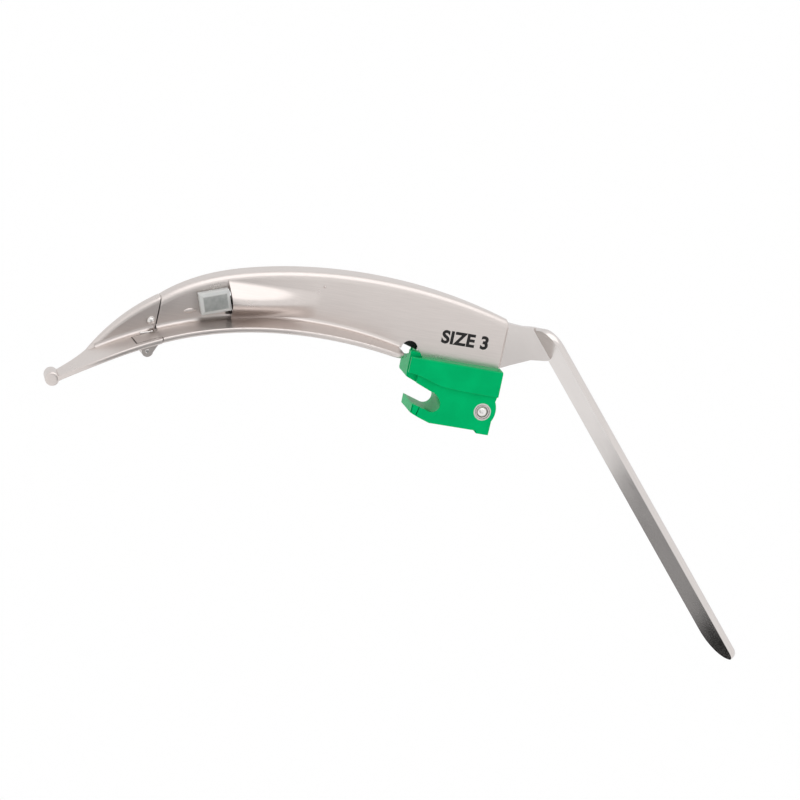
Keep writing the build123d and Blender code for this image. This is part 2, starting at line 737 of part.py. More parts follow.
for screw_name, screw_place in zip(("block_screw_front", "block_screw_rear"), SADDLE_SCREWS):
    with BuildPart() as screw:
        with BuildSketch(at_y(SADDLE_HALF - 0.1)):
            with Locations(screw_place):
                Circle(1.5)
        extrude(amount=SADDLE_HALF - BLOCK_HALF - 0.1)
        with BuildSketch(at_y(SADDLE_HALF - 0.1)):
            with Locations(screw_place):
                Rectangle(3.2, 0.45)
        extrude(amount=0.4, mode=Mode.SUBTRACT)
    hand_in(screw, screw_name)

# Detents: a steel sleeve through the block, two balls and the spring between them.
with BuildPart() as detent_sleeve:
    with BuildSketch(at_y(BLOCK_HALF)):
        with Locations(DETENT):
            Circle(SLEEVE_R)
            Circle(BALL_SEAT, mode=Mode.SUBTRACT)
    extrude(amount=2 * BLOCK_HALF)
hand_in(detent_sleeve, "detent_sleeve")

BALL_Y = BLOCK_HALF + BALL_OUT - BALL_R
for side, ball_name in ((-1, "detent_ball_near"), (1, "detent_ball_far")):
    with BuildPart(Plane(origin=(DETENT[0], side * BALL_Y, DETENT[1]), z_dir=(0, -side, 0))) as ball:
        Sphere(BALL_R)
    hand_in(ball, ball_name)

SPRING_BORE = 0.8
with BuildPart() as detent_spring:
    spring_half = BALL_Y - sqrt(BALL_R ** 2 - SPRING_BORE ** 2) - 0.02
    with BuildSketch(at_y(spring_half)):
        with Locations(DETENT):
            Circle(SPRING_BORE + 0.5)
            Circle(SPRING_BORE, mode=Mode.SUBTRACT)
    extrude(amount=2 * spring_half)
hand_in(detent_spring, "detent_spring")

with BuildPart() as inlet_ferrule:
    with BuildSketch(Plane.XY.offset(-5.5)):
        with Locations(INLET):
            Circle(INLET_R)
            Circle(INLET_R - 0.5, mode=Mode.SUBTRACT)
    extrude(amount=8.3)
hand_in(inlet_ferrule, "inlet_ferrule")

with BuildPart() as inlet_fibre:
    with BuildSketch(Plane.XY.offset(-5.3)):
        with Locations(INLET):
            Circle(INLET_R - 0.5)
    extrude(amount=8.1)
hand_in(inlet_fibre, "inlet_fibre")
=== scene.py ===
# %% [markdown]
# # A laryngoscope blade with a levering tip
#
# The object is the blade unit of a laryngoscope: a curved, formed steel blade with a hinged tip, a long
# lever that flexes the tip, a green block that hooks onto a handle, and a glass light outlet beside the
# web. The CAD model gives every piece its place and every joint its motion. This lesson gives the
# pieces their looks, and shows how each is modelled and finished.

# %% Load the frame
import math

import bpy
from mathutils import Matrix, Vector


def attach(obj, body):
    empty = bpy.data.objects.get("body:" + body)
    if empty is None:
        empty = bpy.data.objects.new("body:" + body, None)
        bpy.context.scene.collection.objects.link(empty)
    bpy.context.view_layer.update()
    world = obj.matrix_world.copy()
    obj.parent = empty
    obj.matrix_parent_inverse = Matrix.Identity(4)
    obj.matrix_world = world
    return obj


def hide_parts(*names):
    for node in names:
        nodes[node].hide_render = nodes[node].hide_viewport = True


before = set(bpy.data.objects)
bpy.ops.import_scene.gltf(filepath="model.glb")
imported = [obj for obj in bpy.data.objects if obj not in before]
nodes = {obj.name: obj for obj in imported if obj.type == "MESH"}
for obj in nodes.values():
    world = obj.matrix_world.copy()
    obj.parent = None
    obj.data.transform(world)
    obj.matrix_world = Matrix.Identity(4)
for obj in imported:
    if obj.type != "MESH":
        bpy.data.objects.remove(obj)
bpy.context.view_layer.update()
MM = 0.001

# %% [markdown]
# ## The camera
#
# A very long lens, far away, flattens perspective, which suits a small instrument. The camera stands a
# little to the left and a little above, and is rolled, so that the lever hangs from upper left to lower
# right in the picture.

# %% Place the camera
AZIMUTH, ELEVATION, ROLL = math.radians(-14.5), math.radians(11.5), math.radians(12.2)
LOOK_AT = Vector((-8.0, 0.0, -1.67)) * MM
LENS, SENSOR = 1500.0, 36.0
FRAME_WIDTH = 231.9 * MM

to_camera = Vector((
    math.sin(AZIMUTH) * math.cos(ELEVATION),
    -math.cos(AZIMUTH) * math.cos(ELEVATION),
    math.sin(ELEVATION),
))
level_right = Vector((math.cos(AZIMUTH), math.sin(AZIMUTH), 0.0))
level_up = to_camera.cross(level_right)
right = level_right * math.cos(ROLL) + level_up * math.sin(ROLL)
up = level_up * math.cos(ROLL) - level_right * math.sin(ROLL)
distance = FRAME_WIDTH * LENS / SENSOR

camera_data = bpy.data.cameras.new("studio_camera")
camera_data.lens = LENS
camera_data.sensor_width = SENSOR
camera_data.clip_end = 100.0
camera = bpy.data.objects.new("studio_camera", camera_data)
bpy.context.scene.collection.objects.link(camera)
camera.matrix_world = Matrix.Translation(LOOK_AT + to_camera * distance) @ Matrix((
    right, up, to_camera
)).transposed().to_4x4()
bpy.context.scene.camera = camera
print("camera", round(distance, 2), "m away")

# %% [markdown]
# ## Colours and nodes
#
# Colours are picked as sRGB hex values, as in a paint chart, but shaders work in linear light, so one
# function converts them. A second small function adds any node with its settings and its links, so that
# each material below reads as a list of what it is made of.


# %% Helpers for materials
def hex_colour(code):
    """An sRGB hex colour as linear RGBA."""
    values = [int(code[i:i + 2], 16) / 255 for i in (1, 3, 5)]
    linear = [v / 12.92 if v <= 0.04045 else ((v + 0.055) / 1.055) ** 2.4 for v in values]
    return (*linear, 1.0)


def add_node(tree, kind, settings=None, inputs=None):
    """Adds a node, sets its properties, and sets or links its inputs."""
    node = tree.nodes.new(kind)
    for name, value in (settings or {}).items():
        setattr(node, name, value)
    for name, value in (inputs or {}).items():
        if isinstance(value, bpy.types.NodeSocket):
            tree.links.new(value, node.inputs[name])
        else:
            node.inputs[name].default_value = value
    return node


def new_material(name, **inputs):
    """A material with a Principled shader; the shader's sockets are set by name."""
    material = bpy.data.materials.new(name)
    material.use_nodes = True
    shader = material.node_tree.nodes["Principled BSDF"]
    for socket, value in inputs.items():
        shader.inputs[socket.replace("_", " ")].default_value = value
    return material, material.node_tree, shader


def stops(ramp, *points):
    """Sets a colour ramp's stops from (position, colour) pairs."""
    elements = ramp.color_ramp.elements
    while len(elements) < len(points):
        elements.new(0.5)
    for element, (position, colour) in zip(elements, points):
        element.position = position
        element.color = colour


def grey(value):
    """A neutral linear colour."""
    return (value, value, value, 1.0)


# %% [markdown]
# ## Satin stainless steel
#
# The blade, its tip and the lever are pressed from surgical stainless steel (1.4301) and finished with
# a fine brush along their length, then electropolished. The eye gets a warm light grey with broad
# reflections, drawn out a little by scratches. Real scratches are about 0.05 mm apart, too fine to
# show, so they are drawn about 0.35 mm apart and kept very shallow. A slow change of roughness gives
# the faint cloudiness of handled metal.

# %% Satin steel
SCRATCH_SPACING = 0.35 * MM
SCRATCH_STRETCH = 25.0       # how many times longer than wide a scratch is drawn
CLOUD_SIZE = 9.0 * MM
LEVER_SLOPE = math.radians(49.35)    # the lever's strip falls this steeply, and its scratches with it


def satin_steel(name, colour, roughness, turn=(0.0, 0.0, 0.0)):
    """Brushed steel: scratches along X after the turn, and a cloudy roughness."""
    material, tree, shader = new_material(name, Metallic=1.0, Roughness=roughness)
    place = add_node(tree, "ShaderNodeTexCoord")
    along = add_node(tree, "ShaderNodeMapping", {"vector_type": "TEXTURE"}, {
        "Vector": place.outputs["Object"],
        "Rotation": turn,
        "Scale": (SCRATCH_STRETCH * SCRATCH_SPACING, SCRATCH_SPACING, SCRATCH_SPACING),
    })
    scratches = add_node(tree, "ShaderNodeTexNoise", inputs={
        "Vector": along.outputs["Vector"], "Scale": 1.0, "Detail": 3.0, "Roughness": 0.6,
    })
    clouds = add_node(tree, "ShaderNodeTexNoise", inputs={
        "Vector": place.outputs["Object"], "Scale": 1.0 / CLOUD_SIZE, "Detail": 4.0,
    })
    tone = add_node(tree, "ShaderNodeMapRange", inputs={
        "Value": scratches.outputs["Fac"],
        "From Min": 0.3, "From Max": 0.7, "To Min": 0.96, "To Max": 1.03,
    })
    mixed = add_node(tree, "ShaderNodeMix", {"data_type": "RGBA", "blend_type": "MULTIPLY"})
    mixed.inputs[0].default_value = 1.0
    mixed.inputs[6].default_value = hex_colour(colour)
    tree.links.new(tone.outputs["Result"], mixed.inputs[7])
    tree.links.new(mixed.outputs[2], shader.inputs["Base Color"])
    cloudy = add_node(tree, "ShaderNodeMapRange", inputs={
        "Value": clouds.outputs["Fac"],
        "From Min": 0.3, "From Max": 0.7, "To Min": roughness - 0.03, "To Max": roughness + 0.04,
    })
    tree.links.new(cloudy.outputs["Result"], shader.inputs["Roughness"])
    bump = add_node(tree, "ShaderNodeBump", inputs={
        "Height": scratches.outputs["Fac"], "Strength": 0.06, "Distance": 0.02 * MM,
    })
    tree.links.new(bump.outputs["Normal"], shader.inputs["Normal"])
    return material


blade_steel = satin_steel("satin_stainless_blade", "#D8D0CC", 0.3)
lever_steel = satin_steel("satin_stainless_lever", "#D9D3D0", 0.19, (0.0, LEVER_SLOPE, 0.0))
print("satin steel made for", blade_steel.name, "and", lever_steel.name)

# %% [markdown]
# ## Polished and spring steels
#
# Pins, screws, the detent balls and their bush are turned or ground bright, so they mirror the studio,
# with only faint, uneven tool marks. The springs are drawn music wire, darker and a little rougher.

# %% Polished and spring steels
POLISH_GRAIN = 0.6 * MM
WIRE_GRAIN = 0.3 * MM


def turned_steel(name, colour, roughness, grain):
    """Bright steel whose tone and gloss vary a little from place to place."""
    material, tree, shader = new_material(name, Metallic=1.0)
    place = add_node(tree, "ShaderNodeTexCoord")
    marks = add_node(tree, "ShaderNodeTexNoise", inputs={
        "Vector": place.outputs["Object"], "Scale": 1.0 / grain, "Detail": 2.0,
    })
    tone = add_node(tree, "ShaderNodeValToRGB", inputs={"Fac": marks.outputs["Fac"]})
    base = hex_colour(colour)
    stops(tone, (0.3, tuple(0.9 * c for c in base[:3]) + (1.0,)), (0.7, base))
    tree.links.new(tone.outputs["Color"], shader.inputs["Base Color"])
    spread = add_node(tree, "ShaderNodeMapRange", inputs={
        "Value": marks.outputs["Fac"],
        "From Min": 0.3, "From Max": 0.7, "To Min": roughness * 0.8, "To Max": roughness * 1.25,
    })
    tree.links.new(spread.outputs["Result"], shader.inputs["Roughness"])
    return material


polished_steel = turned_steel("polished_stainless", "#E2DEDB", 0.12, POLISH_GRAIN)
ball_steel = turned_steel("ground_ball_steel", "#EDEAE8", 0.06, POLISH_GRAIN)
spring_steel = turned_steel("drawn_spring_wire", "#B4AEA8", 0.26, WIRE_GRAIN)
print("turned steels made")

# %% [markdown]
# ## Green moulded plastic
#
# The block is moulded glass-filled nylon, coloured green in the mass, which is the colour code of a
# fibre-light fitting. A moulded nylon face is matt, with a fine spark-eroded grain of about 0.18 mm.
# Seen straight on it is a deep, clean green, because its reflection takes on the colour; seen at a
# slant it turns pale. A trace of light passes into the edges.

# %% Green nylon
MOULD_GRAIN = 0.18 * MM
FLOW_SIZE = 6.0 * MM


def moulded_nylon(name, colour, light_colour):
    """Matt moulded plastic with slow flow marks and a fine grain."""
    material, tree, shader = new_material(
        name, IOR=1.53, Specular_Tint=hex_colour("#10C878"), Subsurface_Weight=0.04,
        Subsurface_Scale=0.6 * MM,
    )
    shader.inputs["Subsurface Radius"].default_value = (0.4, 1.0, 0.6)
    place = add_node(tree, "ShaderNodeTexCoord")
    flow = add_node(tree, "ShaderNodeTexNoise", inputs={
        "Vector": place.outputs["Object"], "Scale": 1.0 / FLOW_SIZE, "Detail": 3.0, "Distortion": 0.4,
    })
    tone = add_node(tree, "ShaderNodeValToRGB", inputs={"Fac": flow.outputs["Fac"]})
    stops(tone, (0.35, hex_colour(colour)), (0.7, hex_colour(light_colour)))
    tree.links.new(tone.outputs["Color"], shader.inputs["Base Color"])
    grain = add_node(tree, "ShaderNodeTexNoise", inputs={
        "Vector": place.outputs["Object"], "Scale": 1.0 / MOULD_GRAIN, "Detail": 2.0,
    })
    bump = add_node(tree, "ShaderNodeBump", inputs={
        "Height": grain.outputs["Fac"], "Strength": 0.12, "Distance": 0.03 * MM,
    })
    tree.links.new(bump.outputs["Normal"], shader.inputs["Normal"])
    matt = add_node(tree, "ShaderNodeMapRange", inputs={
        "Value": grain.outputs["Fac"], "From Min": 0.3, "From Max": 0.7, "To Min": 0.38, "To Max": 0.47,
    })
    tree.links.new(matt.outputs["Result"], shader.inputs["Roughness"])
    return material


green_nylon = moulded_nylon("moulded_green_nylon", "#00A862", "#00B269")
print("nylon made")

# %% [markdown]
# ## Black sheath, laser mark, glass and fibre end
#
# The fibre bundle runs in black silicone tubing, slightly dusty and rubbery. The size mark on the web
# is a laser-annealed black, matt against the steel. The light outlet is ground optical glass, index
# about 1.52: its colour is painted by the way each face turns, a soft grey painted shade where a face
# looks straight to the front and a paler painted highlight on the bevels. The light inlet shows the end
# of the bundle, whose packed fibres are tiny pale dots.

# %% Sheath, mark, glass and fibre end
def dark_rubber(name, colour, dusty_colour, grain):
    """A matt black with a dusty bloom."""
    material, tree, shader = new_material(name, IOR=1.43)
    place = add_node(tree, "ShaderNodeTexCoord")
    dust = add_node(tree, "ShaderNodeTexNoise", inputs={
        "Vector": place.outputs["Object"], "Scale": 1.0 / grain, "Detail": 4.0,
    })
    tone = add_node(tree, "ShaderNodeValToRGB", inputs={"Fac": dust.outputs["Fac"]})
    stops(tone, (0.4, hex_colour(colour)), (0.8, hex_colour(dusty_colour)))
    tree.links.new(tone.outputs["Color"], shader.inputs["Base Color"])
    rough = add_node(tree, "ShaderNodeMapRange", inputs={
        "Value": dust.outputs["Fac"], "To Min": 0.45, "To Max": 0.65,
    })
    tree.links.new(rough.outputs["Result"], shader.inputs["Roughness"])
    bump = add_node(tree, "ShaderNodeBump", inputs={
        "Height": dust.outputs["Fac"], "Strength": 0.1, "Distance": 0.03 * MM,
    })
    tree.links.new(bump.outputs["Normal"], shader.inputs["Normal"])
    return material


black_sheath = dark_rubber("black_silicone_sheath", "#0B0B0D", "#1C1C1F", 0.8 * MM)
# This black serves the laser size mark, and also the strip behind the tip joint, where it is painted shade.
mark_and_shade_black = dark_rubber("laser_mark_and_painted_shade_black", "#0A0708", "#151112", 0.3 * MM)

GLASS_WAVE = 1.2 * MM
# The glass is coloured by the way each face turns: faces that look straight to the front get a soft grey
# painted shade, and the bevels, turned away from the front, get a paler painted highlight.
PAINTED_HIGHLIGHT_Y = -0.88    # faces whose normal's Y is above this get the paler colour of the bevels
glass, glass_tree, glass_shader = new_material(
    "ground_optical_glass", IOR=1.52, Transmission_Weight=0.35, Roughness=0.06,
)
glass_place = add_node(glass_tree, "ShaderNodeTexCoord")
glass_waves = add_node(glass_tree, "ShaderNodeTexNoise", inputs={
    "Vector": glass_place.outputs["Object"], "Scale": 1.0 / GLASS_WAVE, "Detail": 2.0,
})
glass_way = add_node(glass_tree, "ShaderNodeSeparateXYZ", inputs={
    "Vector": glass_place.outputs["Normal"],
})
glass_painted_light = add_node(glass_tree, "ShaderNodeMapRange", inputs={
    "Value": glass_way.outputs["Y"], "From Min": -1.0, "From Max": PAINTED_HIGHLIGHT_Y,
})
glass_waves_and_painted_light = add_node(glass_tree, "ShaderNodeMath", {"operation": "MULTIPLY_ADD"}, {
    0: glass_waves.outputs["Fac"], 1: 0.2, 2: glass_painted_light.outputs["Result"],
})
glass_tone_and_painted_light = add_node(glass_tree, "ShaderNodeValToRGB", inputs={"Fac": glass_waves_and_painted_light.outputs["Value"]})
# The darker stops are painted shade on the front face and the paler stops are painted highlight on the
# bevels; the faint waves add a random tone.
stops(
    glass_tone_and_painted_light, (0.05, hex_colour("#A4A7A5")), (0.2, hex_colour("#C2C4C1")),
    (0.7, hex_colour("#DFE0DD")), (1.0, hex_colour("#EBECEA")),
)
glass_tree.links.new(glass_tone_and_painted_light.outputs["Color"], glass_shader.inputs["Base Color"])
glass_bump = add_node(glass_tree, "ShaderNodeBump", inputs={
    "Height": glass_waves.outputs["Fac"], "Strength": 0.08, "Distance": 0.05 * MM,
})
glass_tree.links.new(glass_bump.outputs["Normal"], glass_shader.inputs["Normal"])

FIBRE_SPACING = 0.25 * MM    # real fibres are 0.05 mm; drawn coarser so that they show
fibre_end, fibre_tree, fibre_shader = new_material("polished_fibre_end", Roughness=0.2, IOR=1.55)
fibre_place = add_node(fibre_tree, "ShaderNodeTexCoord")
fibre_cells = add_node(fibre_tree, "ShaderNodeTexVoronoi", inputs={
    "Vector": fibre_place.outputs["Object"], "Scale": 1.0 / FIBRE_SPACING,
})
fibre_tone = add_node(fibre_tree, "ShaderNodeValToRGB", inputs={"Fac": fibre_cells.outputs["Distance"]})
stops(fibre_tone, (0.25, hex_colour("#F1EEE4")), (0.55, hex_colour("#8C8474")))
fibre_tree.links.new(fibre_tone.outputs["Color"], fibre_shader.inputs["Base Color"])
print("sheath, mark, glass and fibre materials made")

# %% [markdown]
# ## Modelling helpers
#
# Operators act on everything that is selected, so one helper first clears the selection and then
# selects one object. Faces and edges are chosen in code by their place or direction. The finished
# place of a piece is kept in its mesh, with its object at the origin, so that patterns on Object
# coordinates stay put.


# %% Helpers for pieces
def pick(piece):
    """Makes one object the only selected and active one."""
    if bpy.context.object and bpy.context.object.mode != "OBJECT":
        bpy.ops.object.mode_set(mode="OBJECT")
    bpy.ops.object.select_all(action="DESELECT")
    piece.select_set(True)
    bpy.context.view_layer.objects.active = piece


def settle(piece):
    """Moves the object's place, turn and size into its mesh."""
    pick(piece)
    bpy.ops.object.transform_apply(location=True, rotation=True, scale=True)


def modify(piece, kind, **settings):
    """Adds a modifier, sets it and applies it."""
    pick(piece)
    modifier = piece.modifiers.new(kind.lower(), kind)
    for name, value in settings.items():
        setattr(modifier, name, value)
    bpy.ops.object.modifier_apply(modifier=modifier.name)


def select_faces(piece, wanted):
    """In edit mode, selects the faces for which wanted(centre, normal) is true."""
    pick(piece)
    bpy.ops.object.mode_set(mode="EDIT")
    bpy.ops.mesh.select_mode(type="FACE")
    bpy.ops.mesh.select_all(action="DESELECT")
    bpy.ops.object.mode_set(mode="OBJECT")
    count = 0
    for polygon in piece.data.polygons:
        polygon.select = wanted(polygon.center, polygon.normal)
        count += polygon.select
    bpy.ops.object.mode_set(mode="EDIT")
    return count


def smooth(piece, angle):
    """Shades the piece smooth, except across edges sharper than the angle in degrees."""
    pick(piece)
    bpy.ops.object.shade_smooth_by_angle(angle=math.radians(angle))


def dress(piece, name, material, body, stands_for=()):
    """Names a piece, gives it its material and joins it to its body."""
    piece.name = name
    piece.data.name = name
    piece.data.materials.clear()
    piece.data.materials.append(material)
    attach(piece, body)
    if stands_for:
        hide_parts(*stands_for)
    triangles = sum(len(polygon.vertices) - 2 for polygon in piece.data.polygons)
    print(name, triangles, "triangles on", body)


def eased(node_name, width, segments=2):
    """A copy of a CAD node with its sharp edges eased, as a tumbled or moulded edge is."""
    pick(nodes[node_name])
    bpy.ops.object.duplicate()
    piece = bpy.context.object
    piece.hide_render = False
    piece.parent = None
    piece.matrix_world = Matrix.Identity(4)
    for key in list(piece.keys()):
        del piece[key]
    bpy.ops.object.mode_set(mode="EDIT")
    bpy.ops.mesh.select_all(action="SELECT")
    bpy.ops.mesh.remove_doubles(threshold=0.002 * MM)
    bpy.ops.mesh.dissolve_limited(angle_limit=math.radians(0.4))
    bpy.ops.object.mode_set(mode="OBJECT")
    modify(
        piece, "BEVEL", width=width, segments=segments, limit_method="ANGLE",
        angle_limit=math.radians(30), use_clamp_overlap=True,
    )
    smooth(piece, 40.0)
    modify(piece, "WEIGHTED_NORMAL", keep_sharp=True, weight=80)
    return piece


# %% [markdown]
# ## The formed steel pieces
#
# The blade, tip and lever are pressed and ground sheet. Their shapes are already right in the CAD
# model, so each is copied, its triangles are merged, and its edges are eased by a few tenths of a
# millimetre: that thin rounded edge is what catches the light on a real instrument. The blade's hard
# CAD scoop is taken off, because a softer one replaces it below. The spatula's top is one arc about a
# cross axis, so a face belongs to the scoop if it stands clear of that arc and of the web.

# %% Blade, tip and lever
ARC_CENTRE = Vector((-39.0, 0.0, -101.0)) * MM
ARC_RADIUS = 118.3 * MM
WEB_FACE = -2.5 * MM
SCOOP_FROM, SCOOP_TO, SCOOP_TOP = -66.5 * MM, -43.5 * MM, 26.5 * MM

blade = eased("blade_body", 0.12 * MM)
removed = select_faces(blade, lambda centre, normal: (
    centre.y < WEB_FACE - 0.06 * MM
    and SCOOP_FROM < centre.x < SCOOP_TO
    and centre.z < SCOOP_TOP
    and (centre - ARC_CENTRE).xz.length > ARC_RADIUS + 0.3 * MM
))
bpy.ops.mesh.delete(type="FACE")
bpy.ops.object.mode_set(mode="OBJECT")
print("scoop faces taken off the blade:", removed)
dress(blade, "blade_formed_sheet", blade_steel, "blade", ["blade_body"])
tip = eased("tip_body", 0.12 * MM)
dress(tip, "tip_formed_sheet", blade_steel, "tip", ["tip_body"])
lever = eased("lever_arm", 0.35 * MM, 3)
dress(lever, "lever_folded_strip", lever_steel, "lever", ["lever_arm"])

# %% [markdown]
# ## The inside corner of the fold
#
# Where the web is folded up from the spatula the press leaves a small inside radius, which shows as a
# bright line along the whole blade. It is one small section spun round the axis of the spatula's arc.
# A circle gives the section: the quarter that faces the fold stays as the hollow curve, and all its
# other points are drawn to the corner of the sheet.

# %% Inside corner
CORNER_RADIUS = 1.2 * MM
SUNK = 0.25 * MM     # how far the strip is let into the sheet, so that no gap shows
TOUCH = 0.02 * MM    # points nearer than this count as being in one place


def corner_radius(name, x_from, x_to, body):
    """The hollow fillet between spatula and web, from one X in millimetres to another."""
    start = math.asin((x_from * MM - ARC_CENTRE.x) / ARC_RADIUS)
    finish = math.asin((x_to * MM - ARC_CENTRE.x) / ARC_RADIUS)
    hollow = Vector((0.0, WEB_FACE - CORNER_RADIUS, ARC_RADIUS + CORNER_RADIUS))
    bpy.ops.object.select_all(action="DESELECT")
    bpy.ops.mesh.primitive_circle_add(
        vertices=24, radius=CORNER_RADIUS, location=hollow, rotation=(0.0, math.radians(90.0), 0.0)
    )
    piece = bpy.context.object
    settle(piece)
    for vertex in piece.data.vertices:
        offset = vertex.co - hollow
        if offset.y < -TOUCH or offset.z > TOUCH:
            vertex.co = (0.0, WEB_FACE + SUNK, ARC_RADIUS - SUNK)
    pick(piece)
    bpy.ops.object.mode_set(mode="EDIT")
    bpy.ops.mesh.select_all(action="SELECT")
    bpy.ops.mesh.remove_doubles(threshold=0.01 * MM)
    bpy.ops.transform.translate(value=ARC_CENTRE)
    bpy.ops.transform.rotate(value=-start, orient_axis="Y", center_override=ARC_CENTRE)
    bpy.ops.mesh.edge_face_add()
    bpy.ops.mesh.spin(steps=64, angle=start - finish, center=ARC_CENTRE, axis=(0, 1, 0))
    bpy.ops.mesh.select_all(action="SELECT")
    bpy.ops.mesh.normals_make_consistent(inside=False)
    bpy.ops.object.mode_set(mode="OBJECT")
    smooth(piece, 40.0)
    dress(piece, name, blade_steel, body)
    spread = [vertex.co.x / MM for vertex in piece.data.vertices]
    print(name, "runs from x", round(min(spread), 1), "to", round(max(spread), 1), "mm")


corner_radius("blade_corner_radius", -84.3, -12.4, "blade")
corner_radius("tip_corner_radius", -101.0, -85.1, "tip")

# %% [markdown]
# ## The scoop over the light bundle
#
# The web is pressed out into a long scoop that shelters the end of the fibre bundle. Pressed sheet
# flows, so the scoop has no hard outline: it swells out of the web and is cut off square at its mouth.
# A fine grid is the start, and each of its points is pushed out by a smooth bulge that is full at the
# mouth and dies away at the tail. Solidify then gives it nearly the thickness of the sheet.

# %% Light scoop
MOUTH_X, TAIL_X = -64.6 * MM, -38.0 * MM
MOUTH_Z, TAIL_RISE = 19.9 * MM, 2.8 * MM           # height of the middle line, and how much it climbs
MOUTH_HALF, TAIL_NARROWS = 6.0 * MM, 2.2 * MM      # half the width, and how much it narrows
SCOOP_DEPTH = 4.8 * MM
MOUTH_LEAN = math.tan(math.radians(15))
bpy.ops.object.select_all(action="DESELECT")
bpy.ops.mesh.primitive_grid_add(x_subdivisions=56, y_subdivisions=44, size=1.0)
scoop = bpy.context.object
for vertex in scoop.data.vertices:
    along, across = vertex.co.x + 0.5, 2.0 * vertex.co.y
    fade = math.cos(along * math.pi / 2) ** 1.3
    bulge = max(0.0, 1.0 - across ** 2) ** 1.8
    half = MOUTH_HALF - TAIL_NARROWS * along
    lean = MOUTH_LEAN * across * half * (1.0 - along)
    vertex.co = (
        MOUTH_X + along * (TAIL_X - MOUTH_X) - lean,
        WEB_FACE - TOUCH - SCOOP_DEPTH * fade * bulge,
        MOUTH_Z + TAIL_RISE * along + across * half,
    )
modify(scoop, "SOLIDIFY", thickness=0.8 * MM, offset=-1.0)
smooth(scoop, 50.0)
dress(scoop, "web_light_scoop", blade_steel, "blade")

# %% [markdown]
# ## The glass light outlet
#
# The light leaves through a ground glass block beside the web. Its near face has a broad ground bevel
# all round. A cube at the block's size is turned in line with the scoop, its near face is inset and
# drawn forward to make the bevel, and every edge is eased, because ground glass never has a sharp edge.

# %% Glass block
GLASS_MIDDLE = Vector((-69.5, -4.45, 19.25)) * MM
GLASS_SIZE = (9.0 * MM, 3.3 * MM, 6.3 * MM)
GLASS_TURN = math.radians(-19.5)
GROUND_WIDTH, GROUND_DEPTH = 0.95 * MM, 0.55 * MM
bpy.ops.object.select_all(action="DESELECT")
bpy.ops.mesh.primitive_cube_add(size=1.0, location=GLASS_MIDDLE, rotation=(0.0, GLASS_TURN, 0.0))
lens = bpy.context.object
lens.scale = GLASS_SIZE
settle(lens)
select_faces(lens, lambda centre, normal: normal.y < -0.9)
bpy.ops.mesh.inset(thickness=GROUND_WIDTH, depth=GROUND_DEPTH)
bpy.ops.object.mode_set(mode="OBJECT")
modify(lens, "BEVEL", width=0.18 * MM, segments=3, limit_method="ANGLE", angle_limit=math.radians(20))
smooth(lens, 30.0)
dress(lens, "light_outlet_glass", glass, "blade", ["light_lens"])

# %% [markdown]
# ## Rivets, nib and pip
#
# Small things make the scale of an instrument readable: the domed rivet through which the rod turns the
# tip, the retaining pin with its ball end along the corner of the tip, a pressed nib that locates the
# glass, and a pip on the web. Domes are spheres that are cut in half and flattened.

# %% Rivets, nib and pip
TOWARDS_FRONT = (0.0, -1.0, 0.0)


def dome(name, centre, size, turn, material, body):
    """A sphere squashed to size in millimetres, turned about Y, and cut off behind its middle."""
    bpy.ops.object.select_all(action="DESELECT")
    bpy.ops.mesh.primitive_uv_sphere_add(
        segments=40, ring_count=20, radius=1.0, location=Vector(centre) * MM, rotation=(0.0, turn, 0.0)
    )
    piece = bpy.context.object
    piece.scale = Vector(size) * MM
    settle(piece)
    bpy.ops.object.mode_set(mode="EDIT")
    bpy.ops.mesh.select_all(action="SELECT")
    bpy.ops.mesh.bisect(
        plane_co=Vector(centre) * MM, plane_no=TOWARDS_FRONT, clear_inner=True, use_fill=True
    )
    bpy.ops.object.mode_set(mode="OBJECT")
    smooth(piece, 50.0)
    dress(piece, name, material, body)


dome("tip_rivet_dome", (-86.5, -2.9, 10.2), (1.25, 1.15, 1.25), 0.0, polished_steel, "tip")
dome("web_nib", (-75.6, -2.45, 15.0), (1.9, 0.5, 0.75), math.radians(-16), blade_steel, "blade")
dome("web_pip", (-37.7, -2.45, 28.3), (0.42, 0.35, 0.42), 0.0, blade_steel, "blade")

# retaining pin: a rod with rounded ends and a ball at one of them
PIN_FROM = Vector((-89.4, -4.3, 6.35)) * MM
PIN_TO = Vector((-85.9, -4.3, 7.25)) * MM
bpy.ops.object.select_all(action="DESELECT")
bpy.ops.mesh.primitive_uv_sphere_add(segments=24, ring_count=12, radius=0.62 * MM, location=PIN_TO)
ball_end = bpy.context.object
bpy.ops.mesh.primitive_cylinder_add(
    vertices=24, radius=0.42 * MM, depth=(PIN_TO - PIN_FROM).length, location=(PIN_FROM + PIN_TO) / 2,
    rotation=(PIN_TO - PIN_FROM).to_track_quat("Z", "Y").to_euler(),
)
rod_part = bpy.context.object
modify(rod_part, "BEVEL", width=0.3 * MM, segments=4, limit_method="ANGLE")
pick(rod_part)
ball_end.select_set(True)
bpy.ops.object.join()
retaining_pin = bpy.context.object
settle(retaining_pin)
smooth(retaining_pin, 40.0)
dress(retaining_pin, "tip_retaining_pin", polished_steel, "tip")

# %% [markdown]
# ## A black strip behind the joint, for painted shade
#
# Behind the cut between blade and tip lies a thin black strip, which stands for the shade deep in the
# cut: no light comes through it, and from the front it turns the cut into a fine dark line of painted
# shade. It is fixed to the blade, and the tip swings away from it.

